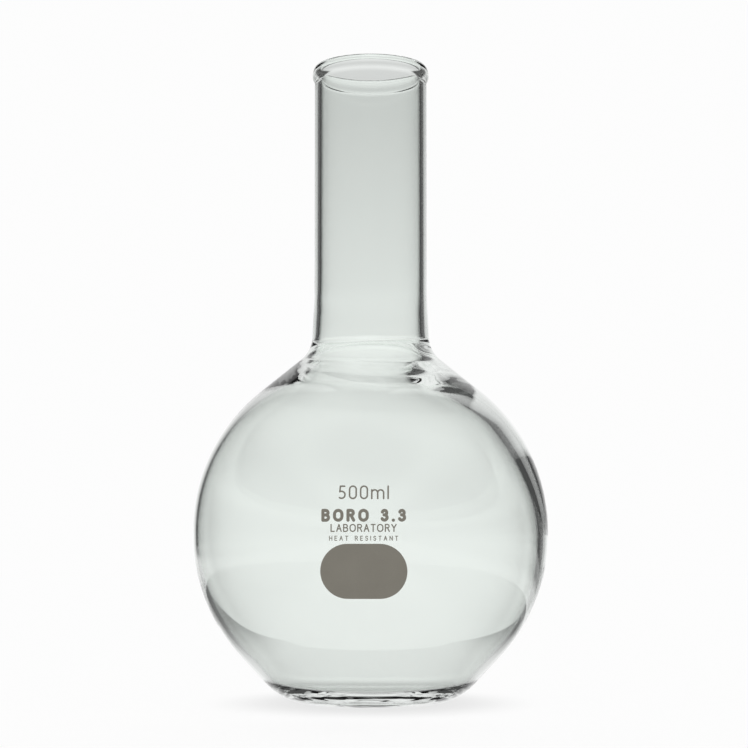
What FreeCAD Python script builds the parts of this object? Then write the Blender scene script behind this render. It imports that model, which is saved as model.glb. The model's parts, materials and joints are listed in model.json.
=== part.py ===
import FreeCAD, Part

# Flat-bottomed 500 ml boiling flask: one blown glass vessel with five enamel marks fired onto the front of its bulb.
# Millimetres, +Z up. The origin is the middle of the base, in the plane that the flask stands on. The marks face -Y.

import math
import os
from collections import namedtuple

from FreeCAD import Vector

# Outside of the glass
BULB_RADIUS = 52.5
LOWER_CENTRE_Z = 49.6  # centre of the bulb's lower half
BULB_BAND = 1.1  # the upper half's centre is this much higher, with a straight band between the two
NECK_RADIUS = 16.8
NECK_FOOT_RADIUS = 17.4
NECK_FOOT_TAPER = 12.4  # height over which the foot of the neck draws in
PUSH_UP = 0.8  # rise of the middle of the underside
PUSH_UP_RADIUS = 15.0  # outside this the underside is a flat standing ring

# Fire-polished rim
HEIGHT = 190.0
RIM_RADIUS = 17.45
RIM_WIDEST_Z = 186.9
RIM_BLEND_RADIUS = 2.0

# Walls
WALL = 2.0
SHOULDER_EXTRA = 1.0  # how far the cavity's upper half sits below the outside's, which thickens the shoulder
BASE_THICKNESS = 3.6

# Enamel marks
ENAMEL = 0.05  # thickness of the fired enamel
MARK_DEPTH = (-54.0, -38.0)  # the marks' cutting prisms run between these depths, through the bulb's front
SPACE_WIDTH = 0.45  # in cap heights

# One face of the glass. The bulb runs straight down to the base corner from line_latitude, in degrees below the
# equator, and straight up to the neck's fillet where it lies at slope, in degrees from level.
Wall = namedtuple("Wall", "radius lower_z upper_z floor_z line_latitude corner slope fillet foot neck")
OUTSIDE = Wall(
    radius=BULB_RADIUS,
    lower_z=LOWER_CENTRE_Z,
    upper_z=LOWER_CENTRE_Z + BULB_BAND,
    floor_z=0.0,
    line_latitude=43.0,
    corner=18.0,
    slope=39.0,
    fillet=9.5,
    foot=NECK_FOOT_RADIUS,
    neck=NECK_RADIUS,
)
CAVITY = Wall(
    radius=BULB_RADIUS - WALL,
    lower_z=LOWER_CENTRE_Z,
    upper_z=LOWER_CENTRE_Z + BULB_BAND - SHOULDER_EXTRA,
    floor_z=BASE_THICKNESS,
    line_latitude=43.0,
    corner=14.0,
    slope=34.0,
    fillet=8.0,
    foot=NECK_FOOT_RADIUS - WALL,
    neck=NECK_RADIUS - WALL,
)

# A line of enamel lettering: its text, cap height, stroke width, gap between letters and height of the baseline
# above the middle of the bulb. The gap is in cap heights.
Mark = namedtuple("Mark", "text cap stroke gap baseline")
MARKS = {
    "capacity_mark": Mark("500ml", 3.76, 0.44, 0.23, 9.35),
    "type_mark": Mark("BORO 3.3", 3.49, 0.86, 0.30, 3.30),
    "use_mark": Mark("LABORATORY", 2.18, 0.34, 0.18, 0.56),
    "heat_mark": Mark("HEAT RESISTANT", 1.36, 0.22, 0.50, -1.80),
}
PATCH_WIDTH = 23.5
PATCH_HEIGHT = 14.85
PATCH_TOP = -2.6  # from the middle of the bulb

# Single-line letters in cap heights: a width, then strokes. A stroke is a start point and steps: a pair is a line to
# that point, and four numbers are an arc through the first pair to the second.
LETTERS = {
    "0": (0.54, [[(0, 0.27), (0, 0.73), (0.27, 1, 0.54, 0.73), (0.54, 0.27), (0.27, 0, 0, 0.27)]]),
    "3": (0.50, [[(0.03, 0.84), (0.25, 1, 0.46, 0.78), (0.4, 0.6, 0.2, 0.54), (0.5, 0.27, 0.0, 0.15)]]),
    "5": (0.48, [[(0.44, 1), (0.09, 1), (0.05, 0.55), (0.47, 0.34, 0.02, 0.07)]]),
    ".": (0.02, [[(0, 0), (0.02, 0)]]),
    "m": (0.96, [[(0, 0), (0, 0.7)], [(0, 0.46), (0.24, 0.7, 0.48, 0.46), (0.48, 0)],
                 [(0.48, 0.46), (0.72, 0.7, 0.96, 0.46), (0.96, 0)]]),
    "l": (0.0, [[(0, 0), (0, 1)]]),
    "A": (0.66, [[(0, 0), (0.33, 1), (0.66, 0)], [(0.12, 0.36), (0.54, 0.36)]]),
    "B": (0.58, [[(0.3, 0.53), (0, 0.53), (0, 1), (0.3, 1), (0.53, 0.765, 0.3, 0.53), (0.58, 0.265, 0.3, 0),
                  (0, 0), (0, 0.53)]]),
    "E": (0.48, [[(0.48, 1), (0, 1), (0, 0), (0.48, 0)], [(0, 0.52), (0.42, 0.52)]]),
    "H": (0.60, [[(0, 0), (0, 1)], [(0.6, 0), (0.6, 1)], [(0, 0.52), (0.6, 0.52)]]),
    "I": (0.0, [[(0, 0), (0, 1)]]),
    "L": (0.46, [[(0, 1), (0, 0), (0.46, 0)]]),
    "N": (0.60, [[(0, 0), (0, 1), (0.6, 0), (0.6, 1)]]),
    "O": (0.76, [[(0, 0.38), (0, 0.62), (0.38, 1, 0.76, 0.62), (0.76, 0.38), (0.38, 0, 0, 0.38)]]),
    "R": (0.58, [[(0, 0), (0, 1), (0.3, 1), (0.54, 0.76, 0.3, 0.52), (0, 0.52)], [(0.3, 0.52), (0.58, 0)]]),
    "S": (0.52, [[(0.49, 0.85), (0.26, 1, 0.03, 0.76), (0.1, 0.58, 0.27, 0.52), (0.45, 0.44, 0.51, 0.26),
                  (0.27, 0, 0.02, 0.16)]]),
    "T": (0.56, [[(0, 1), (0.56, 1)], [(0.28, 1), (0.28, 0)]]),
    "Y": (0.62, [[(0, 1), (0.31, 0.5), (0.62, 1)], [(0.31, 0.5), (0.31, 0)]]),
}


def at(r, z):
    """A point of the flask's half section."""
    return Vector(r, 0, z)


def heading(degrees):
    """The unit vector of the half section at this angle above level."""
    angle = math.radians(degrees)
    return at(math.cos(angle), math.sin(angle))


def arc(centre, radius, start, end):
    """An arc of the half section, between two angles in degrees."""
    points = [centre + heading(a) * radius for a in (start, (start + end) / 2, end)]
    return Part.Arc(*points).toShape()


def line(start, end):
    return Part.makeLine(start, end)


def base_side(wall):
    """From the flat's edge: the base corner and the straight run to the bulb's lower half."""
    out = heading(-wall.line_latitude)
    down = heading(-90 - wall.line_latitude)
    tangent = at(0, wall.lower_z) + out * wall.radius
    corner_z = wall.floor_z + wall.corner
    run = (tangent.z - out.z * wall.corner - corner_z) / -down.z
    centre = tangent + down * run - out * wall.corner
    edges = [arc(centre, wall.corner, -90, -wall.line_latitude), line(centre + out * wall.corner, tangent)]
    return edges, centre.x


def bulb_side(wall):
    """The bulb's lower half, its band and its upper half, as far as the shoulder."""
    lower = at(0, wall.lower_z)
    upper = at(0, wall.upper_z)
    return [
        arc(lower, wall.radius, -wall.line_latitude, 0),
        line(lower + heading(0) * wall.radius, upper + heading(0) * wall.radius),
        arc(upper, wall.radius, 0, 90 - wall.slope),
    ]


def shoulder_side(wall):
    """The straight shoulder, the fillet into the neck and the neck's tapered foot, and the foot's top."""
    out = heading(90 - wall.slope)
    up = heading(180 - wall.slope)
    tangent = at(0, wall.upper_z) + out * wall.radius
    taper = at(wall.neck - wall.foot, NECK_FOOT_TAPER)
    lean = math.degrees(math.atan2(wall.foot - wall.neck, NECK_FOOT_TAPER))
    run = (tangent + out * wall.fillet).x - (at(wall.foot, 0) + heading(lean) * wall.fillet).x
    centre = tangent + up * (run / -up.x) + out * wall.fillet
    foot = centre - heading(lean) * wall.fillet
    edges = [
        line(tangent, centre - out * wall.fillet),
        arc(centre, wall.fillet, 270 - wall.slope, 180 + lean),
        line(foot, foot + taper),
    ]
    return edges, foot + taper


def dome(radius, z, rise):
    """The arc from a ring of this radius up to the axis."""
    sphere = (radius**2 + rise**2) / (2 * rise)
    reach = math.degrees(math.asin(radius / sphere))
    return arc(at(0, z + rise - sphere), sphere, 90 - reach, 90)


def rim(neck_inside):
    """The rounded rim, from the outside of the neck over its crest to the bore."""
    spread = (RIM_RADIUS - NECK_RADIUS) / 2
    turn = math.degrees(math.acos(1 - spread / RIM_BLEND_RADIUS))
    drop = 2 * RIM_BLEND_RADIUS * math.sin(math.radians(turn))
    foot = at(NECK_RADIUS, RIM_WIDEST_Z - drop)
    crest_r = (RIM_RADIUS + neck_inside) / 2
    middle = at(crest_r, RIM_WIDEST_Z)
    crest = Part.Ellipse(at(crest_r, HEIGHT), at(RIM_RADIUS, RIM_WIDEST_Z), middle)
    half = Part.ArcOfEllipse(crest, -math.pi / 2, math.pi / 2).toShape()
    return [
        arc(foot + at(RIM_BLEND_RADIUS, 0), RIM_BLEND_RADIUS, 180, 180 - turn),
        arc(at(RIM_RADIUS - RIM_BLEND_RADIUS, RIM_WIDEST_Z), RIM_BLEND_RADIUS, -turn, 0),
        half,
    ], foot


def revolve(edges):
    """The solid that a closed outline of the half section sweeps about the flask's axis."""
    outline = Part.Wire(Part.__sortEdges__(edges))
    return Part.Face(outline).revolve(Vector(0, 0, 0), Vector(0, 0, 1), 360)


def make_vessel():
    outer_base, outer_flat = base_side(OUTSIDE)
    inner_base, inner_flat = base_side(CAVITY)
    outer_shoulder, outer_foot = shoulder_side(OUTSIDE)
    inner_shoulder, inner_foot = shoulder_side(CAVITY)
    rim_edges, rim_foot = rim(CAVITY.neck)
    edges = [dome(PUSH_UP_RADIUS, 0, PUSH_UP), line(at(PUSH_UP_RADIUS, 0), at(outer_flat, 0))]
    edges += outer_base + bulb_side(OUTSIDE) + outer_shoulder
    edges += [line(outer_foot, rim_foot)] + rim_edges
    edges += [line(at(CAVITY.neck, RIM_WIDEST_Z), inner_foot)]
    edges += inner_shoulder + bulb_side(CAVITY) + inner_base
    edges += [dome(inner_flat, BASE_THICKNESS, PUSH_UP)]
    edges += [line(at(0, PUSH_UP), at(0, BASE_THICKNESS + PUSH_UP))]
    return revolve(edges)


def make_coat():
    """A skin of enamel thickness over the whole bulb, from which the marks are cut."""
    coated = OUTSIDE._replace(radius=OUTSIDE.radius + ENAMEL)
    inner = bulb_side(OUTSIDE)
    outer = bulb_side(coated)
    ends = [(inner[0], outer[0], 0), (inner[-1], outer[-1], -1)]
    caps = [line(a.Vertexes[i].Point, b.Vertexes[i].Point) for a, b, i in ends]
    return revolve(inner + outer + caps)


def prism(outline):
    """A closed outline of the half section, drawn out into a block that runs through the front of the bulb."""
    near, far = MARK_DEPTH
    block = Part.Face(Part.Wire(Part.__sortEdges__(outline))).extrude(Vector(0, far - near, 0))
    block.translate(Vector(0, near, 0))
    return block


def bar(start, end, width):
    """A straight stroke with round ends."""
    along = (end - start).normalize() * (width / 2)
    side = Vector(-along.z, 0, along.x)
    outline = [
        line(start + side, end + side),
        Part.Arc(end + side, end + along, end - side).toShape(),
        line(end - side, start - side),
        Part.Arc(start - side, start - along, start + side).toShape(),
    ]
    return prism(outline)


def curved_bar(start, middle, end, width):
    """A round stroke with round ends."""
    curve = Part.Arc(start, middle, end).toShape().Curve
    half = width / 2
    outline = []
    for reach in (half, -half):
        points = [p + (p - curve.Center).normalize() * reach for p in (start, middle, end)]
        outline.append(Part.Arc(*points).toShape())
    for p, way in ((start, -1), (end, 1)):
        out = (p - curve.Center).normalize() * half
        ahead = curve.tangent(curve.parameter(p))[0] * (way * half)
        outline.append(Part.Arc(p + out, p + ahead, p - out).toShape())
    return prism(outline)


def make_letter(letter, mark, left):
    """One letter as a block, with its strokes' outer edges on the baseline and the cap height."""
    scale = mark.cap - mark.stroke
    corner = at(left + mark.stroke / 2, mark.baseline + mark.stroke / 2)
    blocks = []
    for stroke in LETTERS[letter][1]:
        start = corner + at(*stroke[0]) * scale
        for step in stroke[1:]:
            end = corner + at(*step[-2:]) * scale
            if len(step) == 2:
                blocks.append(bar(start, end, mark.stroke))
            else:
                middle = corner + at(*step[:2]) * scale
                blocks.append(curved_bar(start, middle, end, mark.stroke))
            start = end
    if len(blocks) == 1:
        return blocks[0]
    return blocks[0].multiFuse(blocks[1:]).removeSplitter()


def make_lettering(mark):
    """A centred line of text as one block for each letter."""
    scale = mark.cap - mark.stroke
    gap = mark.gap * scale
    widths = [SPACE_WIDTH * mark.cap if c == " " else LETTERS[c][0] * scale + mark.stroke for c in mark.text]
    left = -(sum(widths) + gap * (len(widths) - 1)) / 2
    blocks = []
    for letter, width in zip(mark.text, widths):
        if letter != " ":
            blocks.append(make_letter(letter, mark, left))
        left += width + gap
    return blocks


def make_patch():
    """The writing patch as a block: a long field with round ends."""
    half = (PATCH_WIDTH - PATCH_HEIGHT) / 2
    middle_z = PATCH_TOP - PATCH_HEIGHT / 2
    return bar(at(-half, middle_z), at(half, middle_z), PATCH_HEIGHT)


def fire_on(blocks, coat):
    """Blocks, drawn about the middle of the bulb, as pieces of the coat on the front of the bulb."""
    pieces = []
    for block in blocks:
        block.translate(Vector(0, 0, LOWER_CENTRE_Z))
        pieces += block.common(coat).Solids
    return Part.makeCompound(pieces)


def make_marks():
    coat = make_coat()
    marks = {name: fire_on(make_lettering(mark), coat) for name, mark in MARKS.items()}
    marks["writing_patch"] = fire_on([make_patch()], coat)
    return marks


os.makedirs("parts", exist_ok=True)
nodes = {"glass_vessel": make_vessel(), **make_marks()}
for name, shape in nodes.items():
    shape.exportStep(f"parts/{name}.step")
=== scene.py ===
import json
import math

import bpy
import numpy as np
from mathutils import Matrix, Vector


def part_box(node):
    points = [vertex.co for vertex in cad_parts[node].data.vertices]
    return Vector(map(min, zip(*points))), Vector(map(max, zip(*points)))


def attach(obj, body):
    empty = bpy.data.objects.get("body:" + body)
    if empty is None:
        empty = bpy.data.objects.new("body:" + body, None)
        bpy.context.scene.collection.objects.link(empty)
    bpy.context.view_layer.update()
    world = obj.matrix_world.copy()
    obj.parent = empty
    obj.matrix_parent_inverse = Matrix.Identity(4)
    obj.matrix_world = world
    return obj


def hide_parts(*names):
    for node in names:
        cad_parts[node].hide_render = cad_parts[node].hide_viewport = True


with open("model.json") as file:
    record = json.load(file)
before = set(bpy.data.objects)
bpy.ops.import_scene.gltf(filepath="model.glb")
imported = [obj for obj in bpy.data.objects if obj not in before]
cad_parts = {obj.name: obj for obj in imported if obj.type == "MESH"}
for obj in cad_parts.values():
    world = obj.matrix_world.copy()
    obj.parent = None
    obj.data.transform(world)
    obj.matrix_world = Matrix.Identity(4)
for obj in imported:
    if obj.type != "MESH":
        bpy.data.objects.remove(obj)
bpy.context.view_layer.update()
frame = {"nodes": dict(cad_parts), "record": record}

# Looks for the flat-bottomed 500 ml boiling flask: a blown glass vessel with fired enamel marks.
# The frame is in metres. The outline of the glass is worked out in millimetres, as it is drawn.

MM = 0.001
MOUNTS = {mount["name"]: mount for mount in frame["record"]["mounts"]}

# Sizes of the glass, in millimetres. The first five come from the frame.
BULB_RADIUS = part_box("glass_vessel")[1].x / MM
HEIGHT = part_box("glass_vessel")[1].z / MM
NECK_RADIUS = MOUNTS["neck_clamp_zone"]["dims"]["r_mm"]
BORE_RADIUS = MOUNTS["neck_bore"]["dims"]["r_mm"]
WALL = NECK_RADIUS - BORE_RADIUS
LOWER_CENTRE_Z = 49.6
BULB_BAND = 1.1
NECK_FOOT_FLARE = 0.6
NECK_FOOT_TAPER = 12.4
PUSH_UP = 0.8
PUSH_UP_RADIUS = 15.0
RIM_OVERHANG = 0.65
RIM_CROWN = 3.1
RIM_BLEND_RADIUS = 2.0
BASE_THICKNESS = 3.6
SHOULDER_EXTRA = 1.0

# The as-blown wall, in millimetres: a height above the base, how much thicker than drawn the wall is there on
# average, and how much more it is thickened on the +X side. The -X side is thinned by the same amount.
BLOWN_WALL = [
    (0.0, 0.0, 0.0),
    (20.0, 0.0, 0.0),
    (47.0, 0.1, 0.6),
    (80.0, 0.5, 1.2),
    (96.0, 0.8, 1.2),
    (108.0, 0.1, 0.2),
    (130.0, 0.0, 0.0),
    (HEIGHT, 0.0, 0.0),
]

# Cords: faint ridges of uneven glass on the inside of the shoulder and over the floor, in millimetres
SHOULDER_CORDS = 0.008
SHOULDER_CORD_SPACING = 2.4
SHOULDER_CORD_HEIGHT = 95
SHOULDER_CORD_SPREAD = 4
SHOULDER_CORD_REACH = 0.7  # radians either side of +X
FLOOR_CORDS = 0.006
FLOOR_CORD_SPACING = 4.1
FLOOR_CORD_TOP = 9
FLOOR_CORD_RADIUS = 28
CORD_FADE = 4
EVEN_RADIUS = 12  # the change of the wall fades out inside this radius, so the surface closes on the axis

STEP = 1.1  # spacing of the rings along the outline
FINE_STEP = 0.22  # and on the rim and the corners
SEGMENTS = 224
CREST_POINTS = 24

# Studio. The camera is low, and it is tilted and its lens is shifted up to take in the neck.
AZIMUTH = 2.1
CAMERA_DISTANCE = 0.540
CAMERA_HEIGHT = 0.050
CAMERA_TILT = 3.3
LENS = 87.3
LENS_SHIFT = (0.0045, 0.0722)
PAPER_WHITE = 0.98
DARK_ROOM = 0.07
CARD_BEHIND = 0.6  # from the flask's axis
CARD_HALF_WIDTH = 0.34
CARD_SOFT_EDGE = (0.20, 0.40)  # how far from its middle the card starts to dim, and its level at the edge
TABLE_HALF_WIDTH = 0.9
TABLE_EDGE = (0.182, 0.190)  # from the axis: past it the table is about as bright as the backdrop
TABLE_NEAR_LEVEL = 0.87
TABLE_FAR_LEVEL = 0.955
UNDER_FLASK = (0.022, 0.045)  # from the axis: inside this the table carries a painted shadow of the flask, at the level below
# Level of the painted shadow of the flask on the table top, seen only in the glass
UNDER_FLASK_SHADOW_LEVEL = 0.45
TABLE_SOFT_SIDE = (0.035, 0.085)  # to the camera's left and right
TABLE_SIDE_DIM = 0.22
TABLE_FAR_DIM = 0.35
GLASS_IOR = 1.473
FLOOR_SHADE = 0.82  # level of the floor right under the flask
FLOOR_SHADE_SPAN = (0.016, 0.055)
FLOOR_HALF_WIDTH = 1.5
TABLE_BELOW = 0.0001  # how far the table top lies under the flask
FLOOR_BELOW = 0.0002  # and the floor
# The backdrop's light by height above the camera: bright level with the bulb, dimmer behind the neck, and
# bright again above it.
CARD_LEVELS = [
    (-0.45, 0.80),
    (-0.05, 0.96),
    (0.0, 1.0),
    (0.07, 0.88),
    (0.12, 0.90),
    (0.18, 0.83),
    (0.27, 0.70),
    (0.60, 1.0),
    (1.4, 1.0),
]


def heading(degrees):
    """The unit vector of the half section at this angle above level."""
    angle = math.radians(degrees)
    return np.array([math.cos(angle), math.sin(angle)])


def line(start, end, step=STEP):
    count = max(1, math.ceil(np.linalg.norm(np.subtract(end, start)) / step))
    return [np.array(start) + (np.array(end) - start) * i / count for i in range(count + 1)]


def arc(centre, radius, start, end, step=STEP):
    count = max(4, math.ceil(radius * math.radians(abs(end - start)) / step))
    return [np.array(centre) + heading(start + (end - start) * i / count) * radius for i in range(count + 1)]


def dome(radius, z, rise):
    """From a ring of this radius up to the axis, as part of a sphere."""
    sphere = (radius**2 + rise**2) / (2 * rise)
    reach = math.degrees(math.asin(radius / sphere))
    return arc((0, z + rise - sphere), sphere, 90 - reach, 90, 2 * FINE_STEP)


def wall_side(radius, upper_z, floor_z, line_latitude, corner, slope, fillet, foot, neck):
    """One face of the glass, from the edge of its flat up to the top of the neck's foot."""
    lower, upper = np.array([0, LOWER_CENTRE_Z]), np.array([0, upper_z])
    out = heading(-line_latitude)
    down = heading(-90 - line_latitude)
    tangent = lower + out * radius
    run = (tangent[1] - out[1] * corner - floor_z - corner) / -down[1]
    base = tangent + down * run - out * corner
    points = arc(base, corner, -90, -line_latitude, FINE_STEP) + line(base + out * corner, tangent)
    points += arc(lower, radius, -line_latitude, 0) + arc(upper, radius, 0, 90 - slope)
    out = heading(90 - slope)
    up = heading(180 - slope)
    lean = math.degrees(math.atan2(foot - neck, NECK_FOOT_TAPER))
    tangent = upper + out * radius
    run = tangent[0] + (out[0] - heading(lean)[0]) * fillet - foot
    centre = tangent + up * (run / -up[0]) + out * fillet
    foot_point = centre - heading(lean) * fillet
    top = foot_point + np.array([neck - foot, NECK_FOOT_TAPER])
    points += line(tangent, centre - out * fillet, FINE_STEP)
    points += arc(centre, fillet, 270 - slope, 180 + lean, FINE_STEP) + line(foot_point, top)
    return points


def rim_side():
    """From the outside of the neck over the rim's crest to the bore."""
    rim_radius = NECK_RADIUS + RIM_OVERHANG
    widest = HEIGHT - RIM_CROWN
    turn = math.degrees(math.acos(1 - RIM_OVERHANG / 2 / RIM_BLEND_RADIUS))
    drop = 2 * RIM_BLEND_RADIUS * math.sin(math.radians(turn))
    start = (NECK_RADIUS + RIM_BLEND_RADIUS, widest - drop)
    points = arc(start, RIM_BLEND_RADIUS, 180, 180 - turn, FINE_STEP)
    points += arc((rim_radius - RIM_BLEND_RADIUS, widest), RIM_BLEND_RADIUS, -turn, 0, FINE_STEP)
    half = (rim_radius - BORE_RADIUS) / 2
    for i in range(1, CREST_POINTS + 1):
        side = heading(180 * i / CREST_POINTS)
        points.append(np.array([rim_radius - half + half * side[0], widest + RIM_CROWN * side[1]]))
    return points


def without_repeats(points):
    kept = [points[0]]
    for point in points[1:]:
        if np.linalg.norm(point - kept[-1]) > 1e-6:
            kept.append(point)
    return np.array(kept)


def glass_outline():
    """The outline from the axis under the base, up the outside, over the rim and down the inside to the axis.
    Also the index at which the inside starts."""
    foot = NECK_RADIUS + NECK_FOOT_FLARE
    outside = wall_side(
        radius=BULB_RADIUS,
        upper_z=LOWER_CENTRE_Z + BULB_BAND,
        floor_z=0,
        line_latitude=43,
        corner=18,
        slope=39,
        fillet=9.5,
        foot=foot,
        neck=NECK_RADIUS,
    )
    inside = wall_side(
        radius=BULB_RADIUS - WALL,
        upper_z=LOWER_CENTRE_Z + BULB_BAND - SHOULDER_EXTRA,
        floor_z=BASE_THICKNESS,
        line_latitude=43,
        corner=14,
        slope=34,
        fillet=8,
        foot=foot - WALL,
        neck=BORE_RADIUS,
    )
    rim = rim_side()
    underside = dome(PUSH_UP_RADIUS, 0, PUSH_UP)[::-1] + line((PUSH_UP_RADIUS, 0), outside[0])
    outer = without_repeats(underside + outside + line(outside[-1], rim[0]) + rim)
    floor = dome(inside[0][0], BASE_THICKNESS, PUSH_UP)
    inner = without_repeats(line(rim[-1], inside[-1]) + inside[::-1] + floor)
    return np.vstack([outer, inner[1:]]), len(outer)


def smooth_between(z, knots, column):
    """The value in this column at each height, eased from one knot to the next."""
    heights = [knot[0] for knot in knots]
    values = [knot[column] for knot in knots]
    place = np.clip(np.searchsorted(heights, z, side="right") - 1, 0, len(knots) - 2)
    low, high = np.take(heights, place), np.take(heights, place + 1)
    t = np.clip((z - low) / (high - low), 0, 1)
    t = t * t * (3 - 2 * t)
    return np.take(values, place) * (1 - t) + np.take(values, place + 1) * t


def blown_change(z, angle):
    """How much thicker than drawn the blown wall is at each height and each angle about the axis."""
    mean = smooth_between(z, BLOWN_WALL, 1)
    side = smooth_between(z, BLOWN_WALL, 2)
    return mean[:, None] + side[:, None] * np.cos(angle)[None, :]


def waviness(r, z, angle):
    """Cords in the blown glass, as a change of the wall: on the shoulder's +X side and over the floor."""
    x, y = r[:, None] * np.cos(angle), r[:, None] * np.sin(angle)
    near_height = np.exp(-(((z - SHOULDER_CORD_HEIGHT) / SHOULDER_CORD_SPREAD) ** 2))[:, None]
    shoulder = near_height * np.exp(-((np.arctan2(y, x) / SHOULDER_CORD_REACH) ** 2))
    cords = np.sin(2 * math.pi * z[:, None] / SHOULDER_CORD_SPACING + 2.2 * np.sin(2.3 * angle) + 0.35 * y)
    low = np.clip((FLOOR_CORD_TOP - z) / CORD_FADE, 0, 1)[:, None]
    floor = low * np.clip((FLOOR_CORD_RADIUS - r) / CORD_FADE, 0, 1)[:, None]
    swell = np.sin(2 * math.pi * y / FLOOR_CORD_SPACING + 1.4 * np.sin(0.31 * x + 0.8))
    swell += 0.6 * np.sin(2.7 * y - 0.9 * np.sin(0.2 * x))
    return SHOULDER_CORDS * shoulder * cords + FLOOR_CORDS * floor * swell


def outline_normals(points):
    """Unit normals of the outline, pointing out of the glass."""
    along = np.gradient(points, axis=0)
    along /= np.linalg.norm(along, axis=1)[:, None]
    return np.column_stack([along[:, 1], -along[:, 0]])


def lathe_mesh(name, outline, inside_from):
    """The glass as a closed mesh: rings about the axis, and a point on it at each end of the outline."""
    angle = np.arange(SEGMENTS) * 2 * math.pi / SEGMENTS
    normals = outline_normals(outline)
    change = blown_change(outline[:, 1], angle) + waviness(outline[:, 0], outline[:, 1], angle)
    change[:inside_from] = 0
    fade = np.clip(outline[:, 0] / EVEN_RADIUS, 0, 1)
    change *= fade[:, None]
    r = outline[:, 0, None] + normals[:, 0, None] * change
    z = outline[:, 1, None] + normals[:, 1, None] * change
    rings = np.stack([r * np.cos(angle), r * np.sin(angle), z], axis=-1)[1:-1] * MM
    vertices = [(0, 0, outline[0][1] * MM), *map(tuple, rings.reshape(-1, 3)), (0, 0, outline[-1][1] * MM)]
    count = len(rings)
    last = len(vertices) - 1
    faces = []
    for j in range(SEGMENTS):
        k = (j + 1) % SEGMENTS
        faces.append((0, 1 + k, 1 + j))
        for i in range(count - 1):
            a = 1 + i * SEGMENTS
            faces.append((a + j, a + k, a + SEGMENTS + k, a + SEGMENTS + j))
        a = 1 + (count - 1) * SEGMENTS
        faces.append((a + j, a + k, last))
    mesh = bpy.data.meshes.new(name)
    mesh.from_pydata(vertices, [], faces)
    mesh.polygons.foreach_set("use_smooth", [True] * len(mesh.polygons))
    mesh.update()
    piece = bpy.data.objects.new(name, mesh)
    bpy.context.collection.objects.link(piece)
    return piece


def add(tree, kind, inputs=None, **settings):
    """A new shader node, with its settings and its inputs as values or links."""
    made = tree.nodes.new(kind)
    for key, value in settings.items():
        setattr(made, key, value)
    for key, value in (inputs or {}).items():
        if isinstance(value, bpy.types.NodeSocket):
            tree.links.new(value, made.inputs[key])
        else:
            made.inputs[key].default_value = value
    return made


def maths(tree, operation, *values, clamp=False):
    """The result of one operation on these values, which may be numbers or sockets."""
    inputs = dict(enumerate(values))
    return add(tree, "ShaderNodeMath", inputs, operation=operation, use_clamp=clamp).outputs[0]


def distance(tree, place):
    """How far a place is from the origin of its coordinates."""
    return add(tree, "ShaderNodeVectorMath", {0: place}, operation="LENGTH").outputs["Value"]


def ease(tree, value, span, levels):
    """A level that goes smoothly from the first to the second as the value crosses the span."""
    return add(tree, "ShaderNodeMapRange", {
        "Value": value, "From Min": span[0], "From Max": span[1], "To Min": levels[0], "To Max": levels[1],
    }, interpolation_type="SMOOTHSTEP").outputs[0]


def new_material(name):
    """A material with an empty node tree, and that tree."""
    material = bpy.data.materials.new(name)
    material.use_nodes = True
    tree = material.node_tree
    tree.nodes.clear()
    return material, tree


def glass_material():
    """Clear borosilicate with a faint, slightly uneven green cast."""
    material, tree = new_material("borosilicate_glass")
    place = add(tree, "ShaderNodeTexCoord").outputs["Object"]
    cloud = add(tree, "ShaderNodeTexNoise", {"Vector": place, "Scale": 35.0, "Detail": 2.0}).outputs["Fac"]
    tint = add(tree, "ShaderNodeMix", {0: cloud, 6: (0.955, 0.985, 0.965, 1), 7: (0.965, 0.99, 0.97, 1)},
               data_type="RGBA").outputs[2]
    shader = add(tree, "ShaderNodeBsdfPrincipled", {
        "Base Color": tint,
        "Roughness": 0.0,
        "IOR": GLASS_IOR,
        "Transmission Weight": 1.0,
    })
    add(tree, "ShaderNodeOutputMaterial", {"Surface": shader.outputs[0]})
    return material


def enamel_material():
    """Matte warm-grey enamel with a fine fired grain."""
    material, tree = new_material("fired_enamel")
    place = add(tree, "ShaderNodeTexCoord").outputs["Object"]
    grain = add(tree, "ShaderNodeTexNoise", {"Vector": place, "Scale": 2500.0, "Detail": 3.0}).outputs["Fac"]
    cloud = add(tree, "ShaderNodeTexNoise", {"Vector": place, "Scale": 150.0, "Detail": 3.0}).outputs["Fac"]
    mix = maths(tree, "MULTIPLY_ADD", grain, 0.4, maths(tree, "MULTIPLY", cloud, 0.6))
    colour = add(tree, "ShaderNodeMix", {0: mix, 6: (0.185, 0.172, 0.143, 1), 7: (0.235, 0.222, 0.185, 1)},
                 data_type="RGBA").outputs[2]
    bump = add(tree, "ShaderNodeBump", {"Height": grain, "Strength": 0.25, "Distance": 0.0001}).outputs[0]
    shader = add(tree, "ShaderNodeBsdfPrincipled", {"Base Color": colour, "Roughness": 0.7, "Normal": bump})
    add(tree, "ShaderNodeOutputMaterial", {"Surface": shader.outputs[0]})
    return material


def make_world():
    """White light on what is lit, white behind what the camera sees, and a dark room seen in the glass."""
    world = bpy.data.worlds.new("studio")
    bpy.context.scene.world = world
    world.cycles.sampling_method = "NONE"
    world.use_nodes = True
    tree = world.node_tree
    tree.nodes.clear()
    path = add(tree, "ShaderNodeLightPath")
    lit = maths(tree, "ADD", path.outputs["Is Camera Ray"], path.outputs["Is Diffuse Ray"], clamp=True)
    level = maths(tree, "MULTIPLY_ADD", lit, PAPER_WHITE - DARK_ROOM, DARK_ROOM)
    light = add(tree, "ShaderNodeBackground", {"Color": (1, 1, 1, 1), "Strength": level})
    add(tree, "ShaderNodeOutputWorld", {"Surface": light.outputs[0]})


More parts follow.
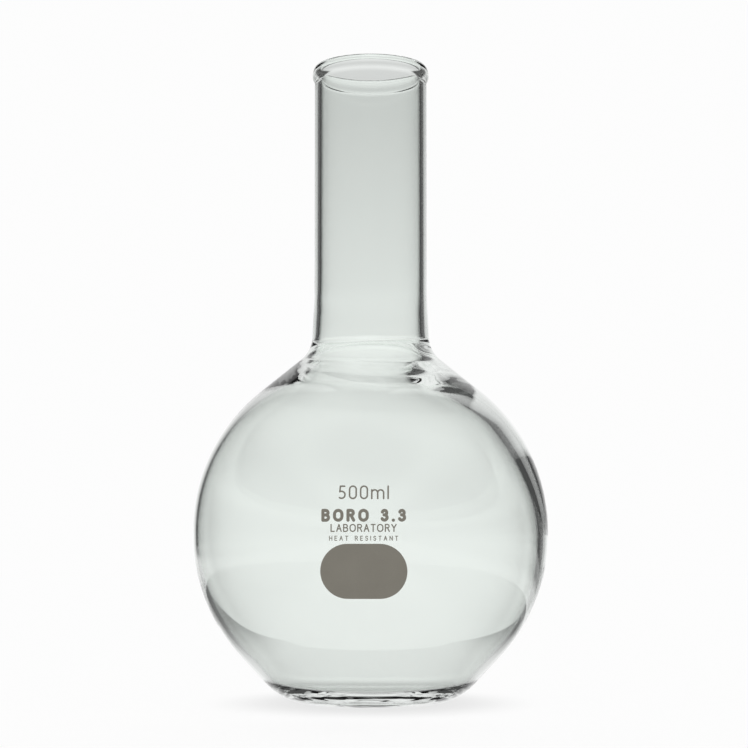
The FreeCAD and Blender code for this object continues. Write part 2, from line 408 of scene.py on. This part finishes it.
def make_camera():
    """The camera in front of the marks, a little round towards +X."""
    a = math.radians(AZIMUTH)
    back = Vector((math.sin(a), -math.cos(a), 0))
    camera = bpy.data.objects.new("camera", bpy.data.cameras.new("camera"))
    camera.data.lens = LENS
    camera.data.shift_x, camera.data.shift_y = LENS_SHIFT
    camera.data.clip_start, camera.data.clip_end = 0.01, 20
    camera.rotation_mode = "QUATERNION"
    ahead = Vector((-back.x, -back.y, math.tan(math.radians(CAMERA_TILT))))
    camera.rotation_quaternion = ahead.to_track_quat("-Z", "Y")
    camera.location = back * CAMERA_DISTANCE + Vector((0, 0, CAMERA_HEIGHT))
    bpy.context.collection.objects.link(camera)
    bpy.context.scene.camera = camera
    return camera


def stage_sheet(name, corners, shader_of):
    """A flat sheet of the studio, drawn in its own X and Y, with its look made by shader_of(tree)."""
    mesh = bpy.data.meshes.new(name)
    mesh.from_pydata([(x, y, 0) for x, y in corners], [], [(0, 1, 2, 3)])
    sheet = bpy.data.objects.new(name, mesh)
    bpy.context.collection.objects.link(sheet)
    material, tree = new_material(name + "_look")
    add(tree, "ShaderNodeOutputMaterial", {"Surface": shader_of(tree).outputs[0]})
    mesh.materials.append(material)
    return sheet


def card_glow(tree):
    """The backdrop's light by height: CARD_LEVELS."""
    low, high = CARD_LEVELS[0][0], CARD_LEVELS[-1][0]
    place = add(tree, "ShaderNodeSeparateXYZ", {"Vector": add(tree, "ShaderNodeTexCoord").outputs["Object"]})
    height = add(tree, "ShaderNodeMapRange", {"Value": place.outputs["Y"], "From Min": low, "From Max": high})
    start, dim = CARD_SOFT_EDGE
    side = add(tree, "ShaderNodeMapRange", {
        "Value": maths(tree, "ABSOLUTE", place.outputs["X"]),
        "From Min": start, "From Max": CARD_HALF_WIDTH, "To Min": 1.0, "To Max": dim,
    }).outputs[0]
    ramp = add(tree, "ShaderNodeValToRGB", {"Fac": height.outputs[0]})
    stops = ramp.color_ramp.elements
    for y, level in CARD_LEVELS[1:-1]:
        stops.new((y - low) / (high - low))
    for stop, (y, level) in zip(stops, CARD_LEVELS):
        stop.color = (level, level, level, 1)
    return add(tree, "ShaderNodeEmission", {"Color": ramp.outputs[0], "Strength": side})


def make_card(camera):
    """The lit upright backdrop behind the flask, which only the glass sees. It follows the camera."""
    side, low, high = CARD_HALF_WIDTH, CARD_LEVELS[0][0], CARD_LEVELS[-1][0]
    card = stage_sheet("backdrop_card", [(-side, low), (side, low), (side, high), (-side, high)], card_glow)
    card.parent = camera
    upright = Matrix.Rotation(math.radians(-CAMERA_TILT), 4, "X")
    card.matrix_local = upright @ Matrix.Translation((0, 0, -CAMERA_DISTANCE - CARD_BEHIND))
    only_in_glass(card)


def table_glow(tree):
    """The lit table top: a painted shadow under the flask, dim to the camera's sides, and bright past
    TABLE_EDGE.
    """
    place = add(tree, "ShaderNodeTexCoord")
    away = distance(tree, place.outputs["Object"])
    sideways = add(tree, "ShaderNodeSeparateXYZ", {"Vector": place.outputs["Camera"]}).outputs["X"]
    aside = maths(tree, "ABSOLUTE", sideways)
    # painted shadow of the flask: the table's glow is lowered near the axis
    under = ease(tree, away, UNDER_FLASK, (UNDER_FLASK_SHADOW_LEVEL, TABLE_NEAR_LEVEL))
    near = maths(tree, "MULTIPLY", under, ease(tree, aside, TABLE_SOFT_SIDE, (1.0, TABLE_SIDE_DIM)))
    far_span = (CARD_SOFT_EDGE[0], CARD_HALF_WIDTH)
    far = ease(tree, aside, far_span, (TABLE_FAR_LEVEL, TABLE_FAR_DIM))
    past_edge = ease(tree, away, TABLE_EDGE, (0.0, 1.0))
    level = add(tree, "ShaderNodeMix", {0: past_edge, 2: near, 3: far}).outputs[0]
    return add(tree, "ShaderNodeEmission", {"Strength": level})


def make_table():
    """The table top as the glass sees it."""
    side = TABLE_HALF_WIDTH
    table = stage_sheet("table_top", [(-side, -side), (side, -side), (side, side), (-side, side)], table_glow)
    table.location.z = -TABLE_BELOW
    table.visible_glossy = False
    only_in_glass(table)


def only_in_glass(sheet):
    """Leave a sheet visible only in reflections and through the glass."""
    sheet.visible_camera = False
    sheet.visible_diffuse = False
    sheet.visible_shadow = False


def floor_paper(tree):
    """White paper with a faint shade under the flask."""
    spot = add(tree, "ShaderNodeTexCoord").outputs["Object"]
    away = distance(tree, spot)
    shade = add(tree, "ShaderNodeMapRange", {
        "Value": away, "From Min": FLOOR_SHADE_SPAN[0], "From Max": FLOOR_SHADE_SPAN[1],
        "To Min": FLOOR_SHADE, "To Max": 1.0,
    }, interpolation_type="SMOOTHERSTEP").outputs[0]
    colour = add(tree, "ShaderNodeCombineColor", {"Red": shade, "Green": shade, "Blue": shade})
    return add(tree, "ShaderNodeBsdfDiffuse", {"Color": colour.outputs[0]})


def make_floor():
    side = FLOOR_HALF_WIDTH
    floor = stage_sheet("floor", [(-side, -side), (side, -side), (side, side), (-side, side)], floor_paper)
    floor.location.z = -FLOOR_BELOW
    floor.visible_transmission = False
    floor.visible_glossy = False


def dress_enamel(material):
    """Give the CAD's own enamel marks their look. They are shown as they are."""
    for name, node in frame["nodes"].items():
        if name != "glass_vessel":
            node.data.materials.clear()
            node.data.materials.append(material)


def set_render():
    scene = bpy.context.scene
    scene.view_settings.view_transform = "Standard"
    scene.cycles.use_denoising = True
    scene.cycles.max_bounces = 48
    scene.cycles.transmission_bounces = 48
    scene.cycles.glossy_bounces = 24


outline, inside_from = glass_outline()
vessel = lathe_mesh("blown_glass", outline, inside_from)
vessel.data.materials.append(glass_material())
vessel.visible_shadow = False
vessel.visible_diffuse = False
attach(vessel, "root")
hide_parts("glass_vessel")
dress_enamel(enamel_material())
make_world()
camera = make_camera()
make_card(camera)
make_table()
make_floor()
set_render()
